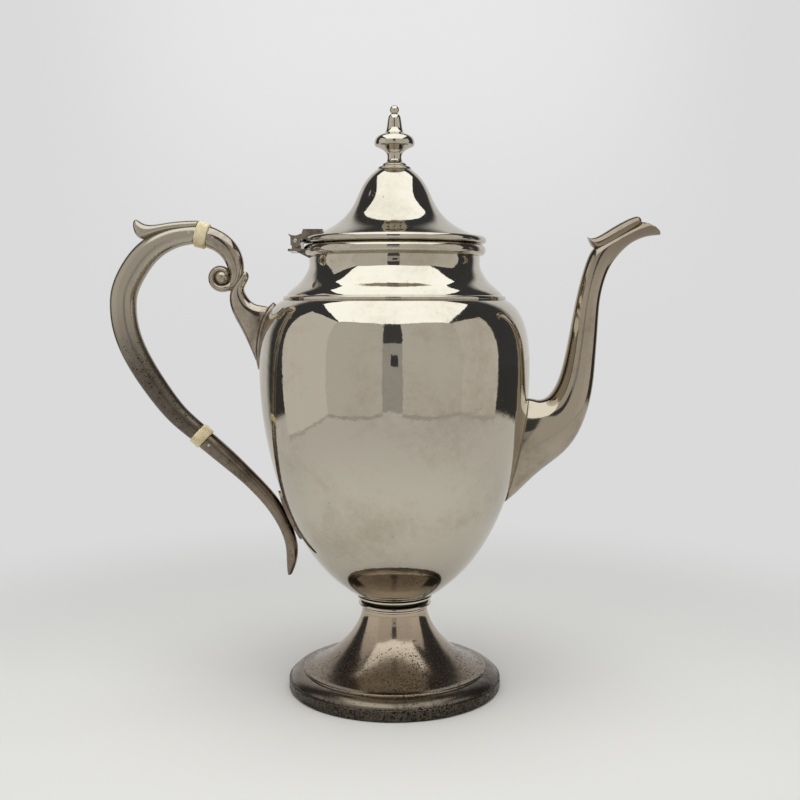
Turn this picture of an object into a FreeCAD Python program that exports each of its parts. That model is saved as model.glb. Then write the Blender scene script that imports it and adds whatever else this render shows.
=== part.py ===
import FreeCAD, Part
import math
import os

# A vase-shaped silver coffee pot on a trumpet foot, with a hinged domed lid, a tall spout
# and a scroll handle that two insulating rings keep apart from the hot body.
# Millimetres. The origin is the middle of the foot's resting face, +Z is up,
# +X points to the spout and the handle is on the -X side.

# Foot
foot_radius = 46.3
foot_band_height = 4.2
foot_shoulder_height = 10.1
foot_step = 0.6
foot_ring_wall = 2.0
foot_height = 34.6
brim_set_in = 5.8
brim_width = 2.6
stem_radius = 14.4

# Collar between foot and bowl
collar_height = 5.0
collar_radius = 16.4
collar_lip = 0.8
collar_lip_slope = 0.4
collar_groove = 1.3
collar_groove_height = 0.8
collar_bead_set_in = 0.2
collar_bead_base = 0.7
collar_ledge = 0.4
collar_bore = 11.5

# Body sheet, bowl, neck and mouth
sheet = 1.0
bowl_radius = 58.7
bowl_height = 131.6
bowl_seat_radius = 15.9
bowl_top_radius = 48.2
neck_step = 1.0
neck_radius = 36.9
neck_curve_height = 16.1
neck_height = 23.4
shoulder_bead_height = 1.6
shoulder_bead_width = 1.1
mouth_rim_height = 4.8
mouth_rim_depth = 2.5
rim_roundness = 0.385

# Lid
seat_gap = 0.3
lid_overhang = 0.2
lid_rim_height = 3.0
lid_lap = 0.8
bezel_depth = 4.4
bezel_wall = 1.0
bezel_clearance = 0.6
dome_set_in = 4.2
dome_top_radius = 7.6
dome_height = 28.7

# Finial and its fixing
finial_base_radius = 7.2
finial_base_height = 2.7
finial_base_step = 1.9
finial_base_bulge = 0.5
finial_height = 24.7
finial_radius = 8.5
finial_waist_radius = 3.2
finial_foot_flare = 1.7
finial_ball_radius = 2.0
stud_radius = 1.5
stud_grip = 4.5
stud_tail = 0.6
stud_clearance = 0.05
washer_radius = 4.0
washer_thickness = 0.8
nut_across_flats = 5.5
nut_height = 2.4

# Hinge
pin_radius = 0.9
pin_clearance = 0.05
pin_rise = 1.3
pin_proud = 0.4
hinge_half_width = 10.0
fixed_knuckle_half_width = 4.9
fixed_knuckle_radius = 2.0
knuckle_side_gap = 0.2
lid_knuckle_half_depth = 2.05
lid_knuckle_drop = 1.6
knuckle_stand_off = 0.35
saddle_depth = 0.7
stop_lip = 3.0
stop_lip_edge = 0.2
stop_gap = 0.3
hinge_plate_thickness = 1.0
hinge_plate_overhang = 3.2
hinge_gusset_height = 3.0
hinge_gusset_half_width = 6.0
web_gap = 0.6
web_foot = 0.8
leaf_rise = 5.0
leaf_reach = 11.6
leaf_thickness = 0.7

# Handle
handle_reach = 64.8
grip_top_thickness = 9.2
grip_mid_thickness = 11.6
grip_low_thickness = 8.6
grip_flatness = 0.9
grip_wall = 1.4
arm_thickness = 9.4
bracket_half_width = 4.4
volute_radius = 6.2
volute_half_width = 3.6
volute_eye_radius = 2.4
leaf_band_thickness = 2.6
leaf_band_width = 7.4
leaf_band_proud = 1.0
leaf_band_gap = 0.1
lower_socket_half_width = 4.2
handle_plate_thickness = 1.4
upper_plate_half_width = 10.0
lower_plate_half_width = 6.5

# Insulating rings and their cross pins
ring_length = 5.2
ring_edge = 0.5
upper_ring_radius = 5.65
upper_ring_tilt = -14
lower_ring_radius = 5.05
lower_ring_tilt = -44
spigot_radius = 2.0
spigot_length = 5.0
spigot_clearance = 0.05
cross_pin_radius = 0.6
cross_pin_clearance = 0.02

# Spout
spout_reach = 56.2
spout_rise = 159.7
spout_wall = 1.1
spout_root_half_width = 11.0
spout_neck_half_width = 5.4
spout_lip_half_width = 4.3
spout_leaf_half_width = 3.4
strainer_hole_radius = 1.8
strainer_pitch = 5.6

# Levels, radii and places that follow from the sizes above
collar_bottom = foot_height
bowl_bottom = foot_height + collar_height
shoulder = bowl_bottom + bowl_height
mouth = shoulder + neck_height
lid_bottom = mouth + seat_gap
dome_bottom = lid_bottom + lid_rim_height
dome_top = dome_bottom + dome_height
finial_bottom = dome_top + finial_base_height
brim_radius = foot_radius - brim_set_in
neck_base_radius = bowl_top_radius - neck_step
mouth_rim_radius = neck_radius + mouth_rim_depth
lid_rim_radius = mouth_rim_radius + lid_overhang
dome_radius = lid_rim_radius - dome_set_in
bezel_radius = neck_radius - sheet - bezel_clearance
lid_hole_radius = min(dome_radius, bezel_radius) - lid_lap
pin_x = -(lid_rim_radius + lid_knuckle_half_depth + knuckle_stand_off)
pin_z = mouth + pin_rise

V = FreeCAD.Vector
up = V(0, 0, 1)
across = V(0, 1, 0)
quarter_arc_pull = 4 * (math.sqrt(2) - 1) / 3


# Small drawing tools. Every outline lies in the XZ plane as (x, z) pairs.

def at(x, z):
    return V(x, 0, z)


def line(a, b):
    return Part.LineSegment(at(*a), at(*b)).toShape()


def arc(a, middle, b):
    return Part.Arc(at(*a), at(*middle), at(*b)).toShape()


def smooth(points):
    curve = Part.BSplineCurve()
    curve.interpolate([at(*p) for p in points])
    return curve


def curved(points):
    return smooth(points).toShape()


def chain(*corners):
    return [line(a, b) for a, b in zip(corners, corners[1:])]


def area(edges):
    return Part.Face(Part.Wire(edges))


def turned(edges):
    """A full turn about the upright axis, with its seam at the back."""
    face = area(edges)
    face.rotate(V(0, 0, 0), up, 90)
    return face.revolve(V(0, 0, 0), up, 360)


def slab(edges, low_y, high_y):
    face = area(edges)
    face.translate(V(0, low_y, 0))
    return face.extrude(V(0, high_y - low_y, 0))


def rod(radius, start, direction, length):
    return Part.makeCylinder(radius, length, start, direction)


def one_solid(shape):
    return max(shape.Solids, key=lambda solid: solid.Volume)


def moved_in(points, distance):
    """Points set off to the left of a smooth outline that is walked in order."""
    curve = smooth(points)
    moved = []
    for x, z in points:
        along = curve.tangent(curve.parameter(at(x, z)))[0]
        moved.append((x - along.z * distance, z + along.x * distance))
    return moved


def level_end(points, inside, end, distance):
    """The inner outline's end, brought to the same level as the outer one."""
    curve = smooth(points)
    along = curve.tangent(curve.parameter(at(*points[end])))[0]
    inside[end] = (points[end][0] - distance / abs(along.z), points[end][1])


def between(low, high, shares):
    """Outline points from shares of the way between two corners."""
    points = []
    for across_share, up_share in shares:
        x = low[0] + (high[0] - low[0]) * across_share
        z = low[1] + (high[1] - low[1]) * up_share
        points.append((x, z))
    return points


def oval(a, b, half_width):
    """A closed oval across an arm, from edge point a to edge point b of the middle plane."""
    centre = (a + b) * 0.5
    spokes = [(b - a) * 0.5, across * half_width, (a - b) * 0.5, across * -half_width]
    quarters = []
    for first, second in zip(spokes, spokes[1:] + spokes[:1]):
        quarter = Part.BezierCurve()
        quarter.setPoles([centre + first, centre + first + second * quarter_arc_pull,
                          centre + second + first * quarter_arc_pull, centre + second])
        quarters.append(quarter.toShape())
    return Part.Wire(quarters)


def skinned(sections):
    """A solid drawn through ovals, each given as its two edge points and its half width."""
    return Part.makeLoft([oval(a, b, half_width) for a, b, half_width in sections], True, False)


def inset(sections, wall):
    """The same ovals, made smaller by a wall all round."""
    smaller = []
    for a, b, half_width in sections:
        step = (b - a).normalize() * wall
        smaller.append((a + step, b - step, half_width - wall))
    return smaller


def arm_sections(path, sizes, first, last):
    """Ovals square to a bent arm: its path, (thickness, width) pairs and end directions."""
    curve = Part.BSplineCurve()
    curve.interpolate(path)
    sections = []
    for k, (point, (thickness, width)) in enumerate(zip(path, sizes)):
        along = curve.tangent(curve.parameter(point))[0]
        if k == 0 and first:
            along = first
        if k == len(path) - 1 and last:
            along = last
        side = along.cross(across).normalize() * (thickness / 2)
        sections.append((point - side, point + side, width / 2))
    return sections


# Outlines that several pieces share

bowl_side = [(bowl_seat_radius, bowl_bottom)]
bowl_side += between((0, bowl_bottom), (bowl_radius, shoulder), [
    (0.340, 0.023), (0.517, 0.094), (0.685, 0.199), (0.797, 0.302), (0.890, 0.425), (0.953, 0.546),
    (0.988, 0.665), (1.000, 0.771)])
bowl_side += between((bowl_top_radius, bowl_bottom), (bowl_radius, shoulder), [
    (0.927, 0.866), (0.737, 0.930), (0.435, 0.970), (0.0, 1.0)])

neck_side = between((neck_radius, shoulder), (neck_base_radius, shoulder + neck_curve_height), [
    (1.0, 0.0), (0.886, 0.174), (0.505, 0.385), (0.219, 0.602), (0.038, 0.814), (0.0, 1.0)])

dome_side = between((dome_top_radius, dome_bottom), (dome_radius, dome_top), [
    (1.0, 0.0), (0.755, 0.125), (0.568, 0.244), (0.446, 0.366), (0.363, 0.484), (0.299, 0.603),
    (0.245, 0.721), (0.169, 0.840), (0.065, 0.951), (0.0, 1.0)])


def full_turn(side):
    """The space inside an outline of revolution, filled to the axis."""
    low, high = side[0], side[-1]
    return turned([curved(side)] + chain(high, (0, high[1]), (0, low[1]), low))


bowl_space = full_turn(bowl_side)
plated_space = full_turn(moved_in(bowl_side, -handle_plate_thickness))


# Foot

def make_foot_ring():
    """The cast ring that stands on the table, rounded over to the step under the brim."""
    top_radius = brim_radius + foot_step
    lean = foot_radius - top_radius
    rise = foot_shoulder_height - foot_band_height
    rounding = (top_radius + 0.68 * lean, foot_band_height + 0.66 * rise)
    inside = foot_radius - foot_ring_wall
    ledge = brim_radius - brim_width
    edges = chain((inside, 0), (foot_radius, 0), (foot_radius, foot_band_height))
    edges.append(arc((foot_radius, foot_band_height), rounding, (top_radius, foot_shoulder_height)))
    edges += chain((top_radius, foot_shoulder_height), (ledge, foot_shoulder_height),
                   (inside, foot_band_height), (inside, 0))
    return turned(edges)


def make_foot_trumpet():
    """The spun sheet foot: a flat brim that flares up into the stem."""
    low = (brim_radius - brim_width, foot_shoulder_height + sheet)
    high = (stem_radius, foot_height)
    side = between((high[0], low[1]), (low[0], high[1]), [
        (1.0, 0.0), (0.84, 0.065), (0.60, 0.195), (0.365, 0.375), (0.18, 0.57),
        (0.065, 0.75), (0.008, 0.90), (0.0, 1.0)])
    inside = moved_in(side, sheet)
    inside[0] = (low[0], foot_shoulder_height)
    level_end(side, inside, -1, sheet)
    brim = chain(inside[0], (brim_radius, foot_shoulder_height), (brim_radius, low[1]), low)
    edges = brim + [curved(side), line(side[-1], inside[-1]), curved(inside[::-1])]
    return turned(edges)


def make_foot_collar():
    """The turned knot under the bowl: a lip, a groove and a bead."""
    top = bowl_bottom
    groove_floor = collar_radius - collar_groove
    groove_top = top - collar_lip - collar_lip_slope
    bead_top = groove_top - collar_groove_height
    bead_bottom = collar_bottom + collar_bead_base
    bead_middle = (collar_radius - collar_bead_set_in, (bead_top + bead_bottom) / 2)
    foot_edge = stem_radius + collar_ledge
    edges = chain((collar_bore, collar_bottom), (foot_edge, collar_bottom), (foot_edge, bead_bottom))
    edges.append(arc((foot_edge, bead_bottom), bead_middle, (groove_floor, bead_top)))
    edges += chain((groove_floor, bead_top), (groove_floor, groove_top), (collar_radius, top - collar_lip),
                   (collar_radius, top), (collar_bore, top), (collar_bore, collar_bottom))
    return turned(edges)


# Body

strainer_height = bowl_bottom + 0.435 * spout_rise


def strainer_holes():
    """Straight drilled holes through the bowl wall behind the spout, in a diamond of five rows."""
    holes = []
    for row in range(-2, 3):
        count = 3 - abs(row)
        for k in range(count):
            y = (k - (count - 1) / 2) * strainer_pitch
            z = strainer_height + row * strainer_pitch
            holes.append(rod(strainer_hole_radius, V(0, y, z), V(1, 0, 0), bowl_radius + sheet))
    return Part.makeCompound(holes)


def make_bowl():
    """The spun vase-shaped body, flat underneath, pierced behind the spout."""
    inside = moved_in(bowl_side, sheet)
    level_end(bowl_side, inside, -1, sheet)
    floor = inside[0][1]
    edges = [line((0, bowl_bottom), bowl_side[0]), curved(bowl_side), line(bowl_side[-1], inside[-1]),
             curved(inside[::-1])]
    edges += chain(inside[0], (0, floor), (0, bowl_bottom))
    return turned(edges).cut(strainer_holes())


def make_neck():
    """The spun concave neck, straight at the top where the mouth rim goes round it."""
    inside = moved_in(neck_side, sheet)
    level_end(neck_side, inside, 0, sheet)
    top = (neck_radius, mouth)
    top_inside = (inside[-1][0], mouth)
    edges = [curved(neck_side), line(neck_side[-1], top), line(top, top_inside),
             line(top_inside, inside[-1]), curved(inside[::-1]), line(inside[0], neck_side[0])]
    return turned(edges)


def make_shoulder_bead():
    """A fine wire over the seam of bowl and neck."""
    outer = bowl_top_radius
    inner = outer - 2 * shoulder_bead_width
    top = shoulder + shoulder_bead_height
    crown = (outer - shoulder_bead_width, top)
    edges = [line((inner, shoulder), (outer, shoulder)),
             arc((outer, shoulder), (outer, shoulder + shoulder_bead_height / 2), crown)]
    edges += chain(crown, (inner, top), (inner, shoulder))
    return one_solid(turned(edges).cut(full_turn(neck_side)))


def rim_ring(inner, outer, low, height):
    """A ring with a half-round outside."""
    shoulder_radius = outer - height * rim_roundness
    middle = low + height / 2
    edges = chain((shoulder_radius, low + height), (inner, low + height), (inner, low),
                  (shoulder_radius, low))
    edges.append(arc((shoulder_radius, low), (outer, middle), (shoulder_radius, low + height)))
    return turned(edges)


def make_mouth_rim():
    return rim_ring(neck_radius, mouth_rim_radius, mouth - mouth_rim_height, mouth_rim_height)


# Lid

def make_lid_rim():
    return rim_ring(lid_hole_radius, lid_rim_radius, lid_bottom, lid_rim_height)


def make_lid_bezel():
    """The ring that drops inside the mouth and keeps the lid in place."""
    inner = bezel_radius - bezel_wall
    low = lid_bottom - bezel_depth
    lead_in = bezel_wall / 2
    edges = chain((inner, low), (bezel_radius - lead_in, low), (bezel_radius, low + lead_in),
                  (bezel_radius, lid_bottom), (inner, lid_bottom), (inner, low))
    return turned(edges)


def make_lid_dome():
    """The spun dome: a bell with a flat top that the finial is bolted to."""
    inside = moved_in(dome_side, sheet)
    level_end(dome_side, inside, 0, sheet)
    ceiling = dome_top - sheet
    hole = stud_radius + stud_clearance
    inside[-1] = (dome_top_radius - sheet, ceiling)
    edges = [curved(dome_side)]
    edges += chain(dome_side[-1], (hole, dome_top), (hole, ceiling), inside[-1])
    edges += [curved(inside[::-1]), line(inside[0], dome_side[0])]
    return turned(edges)


def make_finial_base():
    """A stepped disc under the finial."""
    hole = stud_radius + stud_clearance
    step = finial_base_height / 2
    edges = []
    low = dome_top
    corner = (hole, low)
    for outer in (finial_base_radius, finial_base_radius - finial_base_step):
        edge = outer - finial_base_bulge
        edges.append(line(corner, (edge, low)))
        edges.append(arc((edge, low), (outer, low + step / 2), (edge, low + step)))
        low += step
        corner = (edge, low)
    edges += chain(corner, (hole, finial_bottom), (hole, dome_top))
    return turned(edges)


def make_finial():
    """The turned urn-shaped finial, with a blind hole for its stud."""
    def level(share):
        return finial_bottom + share * finial_height
    hole = stud_radius + stud_clearance
    hole_top = finial_bottom + stud_grip
    foot = (finial_waist_radius + finial_foot_flare, finial_bottom)
    under = (0.89 * finial_radius, level(0.292))
    over = (0.94 * finial_radius, level(0.400))
    tip = (0, level(1.0))
    ball = level(1.0) - finial_ball_radius
    ball_neck = (0.6 * finial_ball_radius, ball - 0.8 * finial_ball_radius)
    lower = [foot, (1.06 * finial_waist_radius, level(0.045)), (finial_waist_radius, level(0.093)),
             (0.56 * finial_radius, level(0.205)), under]
    upper = [over, (0.63 * finial_radius, level(0.535)), (0.38 * finial_radius, level(0.665)),
             (0.28 * finial_radius, level(0.80)), ball_neck]
    edges = [line((hole, finial_bottom), foot), curved(lower),
             arc(under, (finial_radius, level(0.345)), over), curved(upper),
             arc(ball_neck, (finial_ball_radius, ball), tip)]
    edges += chain(tip, (0, hole_top), (hole, hole_top), (hole, finial_bottom))
    return turned(edges)


washer_bottom = dome_top - sheet - washer_thickness
nut_bottom = washer_bottom - nut_height
stud_bottom = nut_bottom - stud_tail


def make_finial_stud():
    length = finial_bottom + stud_grip - stud_bottom
    return rod(stud_radius, V(0, 0, stud_bottom), up, length)


def make_finial_washer():
    hole = stud_radius + stud_clearance
    ring = rod(washer_radius, V(0, 0, washer_bottom), up, washer_thickness)
    return ring.cut(rod(hole, V(0, 0, washer_bottom), up, washer_thickness))


def make_finial_nut():
    corner = nut_across_flats / math.sqrt(3)
    corners = []
    for k in range(7):
        turn = math.pi * k / 3
        corners.append(V(corner * math.cos(turn), corner * math.sin(turn), nut_bottom))
    block = Part.Face(Part.makePolygon(corners)).extrude(V(0, 0, nut_height))
    return block.cut(rod(stud_radius + stud_clearance, V(0, 0, nut_bottom), up, nut_height))


# Hinge, drawn about the pin

def from_pin(x, z):
    return (pin_x + x, pin_z + z)


def pin_bore(radius):
    return rod(radius, V(pin_x, -hinge_half_width, pin_z), across, 2 * hinge_half_width)


def make_hinge_bracket():
    """The fixed leaf: a plate on the mouth rim with one knuckle in the middle."""
    top = -(stop_lip + stop_gap)
    bottom = top - hinge_plate_thickness
    inward = -pin_x - neck_radius + 2 * sheet
    half = fixed_knuckle_radius
    plate = slab(chain(from_pin(-hinge_plate_overhang, bottom), from_pin(inward, bottom),
                       from_pin(inward, top), from_pin(-hinge_plate_overhang, top),
                       from_pin(-hinge_plate_overhang, bottom)), -hinge_half_width, hinge_half_width)
    gusset = slab(chain(from_pin(0, bottom), from_pin(inward - sheet, bottom - hinge_gusset_height),
                        from_pin(inward, bottom - hinge_gusset_height), from_pin(inward, bottom),
                        from_pin(0, bottom)), -hinge_gusset_half_width, hinge_gusset_half_width)
    post = slab(chain(from_pin(-half, top), from_pin(half, top), from_pin(half, 0), from_pin(-half, 0),
                      from_pin(-half, top)), -fixed_knuckle_half_width, fixed_knuckle_half_width)
    barrel = rod(half, V(pin_x, -fixed_knuckle_half_width, pin_z), across, 2 * fixed_knuckle_half_width)
    bracket = plate.fuse([gusset, post, barrel]).cut(pin_bore(pin_radius))
    neck_space = rod(neck_radius, V(0, 0, shoulder), up, neck_height)
    return one_solid(bracket.cut(neck_space).cut(make_mouth_rim()).removeSplitter())


def make_hinge_leaf(lid_rim, lid_dome):
    """The lid's leaf: a knuckle at each end, a stop lip behind and a tongue over the lid."""
    side = lid_knuckle_half_depth
    drop = lid_knuckle_drop
    web_x = fixed_knuckle_radius + web_gap
    lap_x = web_x + web_foot / 2
    lip_x = stop_lip_edge - stop_lip
    inner_end = fixed_knuckle_half_width + knuckle_side_gap
    knuckle = [line(from_pin(-side, 0), from_pin(-side, -drop)),
               arc(from_pin(-side, -drop), from_pin(0, -math.hypot(side, drop)), from_pin(side, -drop))]
    knuckle += chain(from_pin(side, -drop), from_pin(side, web_foot / 2), from_pin(lap_x, web_foot),
                     from_pin(lap_x, stop_lip), from_pin(side, stop_lip))
    knuckle.append(arc(from_pin(side, stop_lip), from_pin(0, stop_lip - saddle_depth),
                       from_pin(lip_x, stop_lip)))
    knuckle += chain(from_pin(lip_x, stop_lip), from_pin(-stop_lip, stop_lip - stop_lip_edge),
                     from_pin(-side, drop), from_pin(-side, 0))
    web = chain(from_pin(web_x, web_foot), from_pin(2 * web_x, web_foot),
                from_pin(leaf_reach, leaf_rise - 2 * leaf_thickness), from_pin(leaf_reach, leaf_rise),
                from_pin(web_x + leaf_thickness, leaf_rise), from_pin(web_x, stop_lip),
                from_pin(web_x, web_foot))
    pieces = [slab(knuckle, inner_end, hinge_half_width), slab(knuckle, -hinge_half_width, -inner_end)]
    leaf = slab(web, -hinge_half_width, hinge_half_width).fuse(pieces)
    rim_space = rod(lid_hole_radius, V(0, 0, lid_bottom), up, lid_rim_height)
    lid_space = full_turn(dome_side).fuse([lid_rim, rim_space])
    leaf = leaf.cut(pin_bore(pin_radius + pin_clearance)).cut(lid_space).cut(lid_dome)
    return one_solid(leaf.removeSplitter())


def make_hinge_pin():
    length = 2 * (hinge_half_width + pin_proud)
    pin = rod(pin_radius, V(pin_x, -length / 2, pin_z), across, length)
    return pin.makeFillet(pin_radius / 3, [pin.Edges[0], pin.Edges[2]])


# Handle. A place beside the pot is a share of the handle's reach out from the bowl's widest
# side, and a share of the bowl's height up from its bottom.

def beside(out, rise):
    return V(-(bowl_radius + out * handle_reach), 0, bowl_bottom + rise * bowl_height)


def tilted(degrees):
    return V(math.cos(math.radians(degrees)), 0, math.sin(math.radians(degrees)))


upper_ring_centre = beside(0.377, 1.2105)
upper_ring_axis = tilted(upper_ring_tilt)
lower_ring_centre = beside(0.400, 0.547)
lower_ring_axis = tilted(lower_ring_tilt)


def make_insulator(centre, axis, radius):
    """A turned ring with a spigot on each side, chamfered at its edges."""
    half = ring_length / 2
    face = radius - ring_edge
    reach = half + spigot_length
    edges = chain((0, -reach), (spigot_radius, -reach), (spigot_radius, -half), (face, -half),
                  (radius, -half + ring_edge), (radius, half - ring_edge), (face, half),
                  (spigot_radius, half), (spigot_radius, reach), (0, reach), (0, -reach))
    shape = turned(edges)
    shape.Placement = FreeCAD.Placement(centre, FreeCAD.Rotation(up, axis))
    return shape


def spigot_bore(centre, axis):
    reach = ring_length / 2 + spigot_length + 2 * spigot_clearance
    return rod(spigot_radius + spigot_clearance, centre - axis * reach, axis, 2 * reach)


def cross_pin_rod(centre, axis, side, radius):
    """A rod from front to back through the spigot on one side of an insulator."""
    middle = centre + axis * (side * (ring_length + spigot_length) / 2)
    half_length = upper_ring_radius + lower_ring_radius
    return rod(radius, middle - across * half_length, across, 2 * half_length)


grip_nodes = [(0.524, 1.209, 0.0), (0.631, 1.190, 0.25), (0.767, 1.144, 0.83), (0.883, 1.053, 1.0),
              (0.910, 0.986, 1.0), (0.895, 0.899, 0.9), (0.809, 0.793, 0.7), (0.647, 0.671, 0.4),
              (0.540, 0.609, 0.17)]


def make_grip_sections():
    path = [upper_ring_centre - upper_ring_axis * (ring_length / 2)]
    sizes = [(grip_top_thickness, grip_top_thickness * grip_flatness)]
    for out, rise, swell in grip_nodes:
        end = grip_top_thickness if rise > 1.0 else grip_low_thickness
        thickness = end + (grip_mid_thickness - end) * swell
        path.append(beside(out, rise))
        sizes.append((thickness, thickness * grip_flatness))
    path.append(lower_ring_centre - lower_ring_axis * (ring_length / 2))
    sizes.append((grip_low_thickness, grip_low_thickness * grip_flatness))
    return arm_sections(path, sizes, upper_ring_axis * -1, lower_ring_axis)


def make_thumb_leaf():
    """The leaf laid along the top of the grip, turned up into a thumb rest at its end."""
    side = V(-upper_ring_axis.z, 0, upper_ring_axis.x)
    start = upper_ring_centre - upper_ring_axis * (ring_length / 2 + leaf_band_gap)
    top = grip_top_thickness / 2 + leaf_band_proud
    path = [start + side * (top - leaf_band_thickness / 2)]
    for out, rise in [(0.509, 1.246), (0.617, 1.241), (0.707, 1.233), (0.765, 1.230), (0.802, 1.233),
                      (0.822, 1.236)]:
        path.append(beside(out, rise))
    swell = [1.0, 1.0, 1.04, 1.15, 1.7, 2.5, 1.7]
    sizes = [(leaf_band_thickness * share, leaf_band_width) for share in swell]
    return skinned(arm_sections(path, sizes, upper_ring_axis * -1, None))


def make_grip_cavity():
    """The hollow of the cast grip, between the blind ends of its two bores."""
    return skinned(inset(make_grip_sections()[2:-1], grip_wall))


volute_centre = beside(0.241, 1.072)


def make_volute():
    """The rolled end of the upper arm: a rounded roll with an eye in the middle of each face."""
    eye = volute_eye_radius
    groove = 1.25 * eye
    groove_floor = 0.7 * volute_half_width
    edge = 0.45 * volute_half_width
    eye_top = 1.08 * volute_half_width
    roll = 0.77 * volute_radius
    edges = []
    for side in (1, -1):
        floor = side * groove_floor
        edges += [arc((0, side * eye_top), (0.75 * eye, side * volute_half_width), (eye, floor)),
                  line((eye, floor), (groove, floor)),
                  arc((groove, floor), (roll, side * volute_half_width), (volute_radius, side * edge))]
    edges += [line((volute_radius, edge), (volute_radius, -edge)), line((0, -eye_top), (0, eye_top))]
    shape = turned(Part.__sortEdges__(edges))
    shape.Placement = FreeCAD.Placement(volute_centre, FreeCAD.Rotation(up, across))
    return shape


def make_upper_arm():
    """The upper socket: from the insulator it bends down and rolls up into the volute."""
    path = [upper_ring_centre + upper_ring_axis * (ring_length / 2)]
    for out, rise in [(0.253, 1.186), (0.189, 1.153), (0.158, 1.115), (0.154, 1.079), (0.180, 1.050),
                      (0.222, 1.037)]:
        path.append(beside(out, rise))
    taper = [1.0, 0.96, 0.90, 0.82, 0.73, 0.58, 0.42]
    sizes = [(arm_thickness * share, arm_thickness * share * grip_flatness) for share in taper]
    arm = skinned(arm_sections(path, sizes, upper_ring_axis, None))
    return one_solid(arm.fuse(make_volute()).removeSplitter())


def body_plate(outline, half_width):
    """A plate that hugs the bowl: a shield seen from the handle's side, (share, height) from the top."""
    skin = plated_space.cut(bowl_space)
    edge = [V(0, share * half_width, z) for share, z in outline]
    other = [V(0, -p.y, p.z) for p in edge[1:-1]]
    curve = Part.BSplineCurve()
    curve.interpolate(edge + other[::-1], True)
    face = Part.Face(Part.Wire([curve.toShape()]))
    shield = face.extrude(V(-2 * bowl_radius, 0, 0))
    return one_solid(skin.common(shield))


def height(share):
    return bowl_bottom + share * bowl_height


def make_upper_plate():
    return body_plate([(0.0, height(0.992)), (0.75, height(0.965)), (0.9, height(0.905)),
                       (0.55, height(0.845)), (0.0, height(0.772))], upper_plate_half_width)


def make_lower_plate():
    return body_plate([(0.0, height(0.362)), (0.75, height(0.325)), (0.85, height(0.275)),
                       (0.6, height(0.235)), (0.0, height(0.197))], lower_plate_half_width)


def make_upper_bracket(arm):
    """The S-shaped bracket: a bud under the volute that widens down to the body plate."""
    edges = [((0.096, 1.087), (0.076, 1.079), 0.20), ((0.139, 1.064), (0.090, 1.062), 0.42),
             ((0.190, 1.033), (0.102, 1.040), 0.66), ((0.199, 0.993), (0.083, 1.017), 0.76),
             ((0.170, 0.947), (0.037, 0.986), 0.84), ((0.114, 0.895), (-0.037, 0.979), 0.96),
             ((0.056, 0.835), (-0.093, 0.985), 1.10), ((-0.068, 0.816), (-0.216, 0.968), 1.15)]
    sections = []
    for outer, inner, share in edges:
        sections.append((beside(*outer), beside(*inner), bracket_half_width * share))
    return one_solid(skinned(sections).cut(arm).cut(plated_space))


def make_lower_socket():
    """The lower socket: a tapered arm with a pad on the body plate and a free tail below."""
    start = lower_ring_centre + lower_ring_axis * (ring_length / 2)
    side = V(-lower_ring_axis.z, 0, lower_ring_axis.x) * (grip_low_thickness / 2)
    sections = [(start - side, start + side, lower_socket_half_width)]
    edges = [((0.269, 0.449), (0.181, 0.492), 0.95), ((0.133, 0.393), (0.052, 0.427), 0.88),
             ((0.012, 0.332), (-0.068, 0.364), 0.86), ((-0.074, 0.276), (-0.154, 0.303), 0.83),
             ((-0.134, 0.219), (-0.213, 0.234), 0.76), ((-0.164, 0.166), (-0.245, 0.174), 0.69),
             ((-0.167, 0.106), (-0.233, 0.117), 0.55), ((-0.176, 0.074), (-0.201, 0.078), 0.22)]
    for outer, inner, share in edges:
        sections.append((beside(*outer), beside(*inner), lower_socket_half_width * share))
    corners = [beside(-0.035, 0.345), beside(-0.13, 0.262), beside(-0.33, 0.222), beside(-0.25, 0.35)]
    corners.append(corners[0])
    half = lower_socket_half_width * 0.7
    pad = slab(chain(*[(p.x, p.z) for p in corners]), -half, half)
    socket = skinned(sections).fuse(pad)
    return one_solid(socket.cut(plated_space).removeSplitter())


# Spout. A place on it is a share of its reach out from the bowl's widest side, and a share of
# its rise from the bowl's bottom.

def ahead(out, rise):
    return V(bowl_radius + out * spout_reach, 0, bowl_bottom + rise * spout_rise)


spout_root = [((-0.161, 0.556), (-0.340, 0.240), 0.88), ((0.011, 0.555), (-0.161, 0.269), 1.0),
              ((0.063, 0.551), (0.063, 0.349), 0.97), ((0.125, 0.554), (0.277, 0.405), 0.90),
              ((0.184, 0.574), (0.411, 0.475), 0.81), ((0.236, 0.611), (0.490, 0.569), 0.68)]
spout_tube = [((0.277, 0.666), (0.513, 0.654), 1.22), ((0.311, 0.729), (0.528, 0.732), 1.12),
              ((0.338, 0.783), (0.537, 0.791), 1.03), ((0.374, 0.848), (0.553, 0.842), 0.94),
              ((0.433, 0.924), (0.601, 0.901), 0.90)]
spout_lip = [((0.492, 0.964), (0.671, 0.940), 1.12), ((0.590, 0.986), (0.751, 0.969), 1.07),
             ((0.698, 1.008), (0.814, 0.983), 1.03), ((0.822, 1.029), (0.884, 0.993), 1.0),
             ((0.930, 1.041), (0.965, 0.9975), 0.97), ((1.040, 1.049), (1.055, 1.000), 0.94)]


def spout_sections():
    sections = []
    parts = [(spout_root, spout_root_half_width), (spout_tube, spout_neck_half_width),
             (spout_lip, spout_lip_half_width)]
    for edges, half_width in parts:
        for back, front, share in edges:
            sections.append((ahead(*back), ahead(*front), half_width * share))
    return sections


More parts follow.
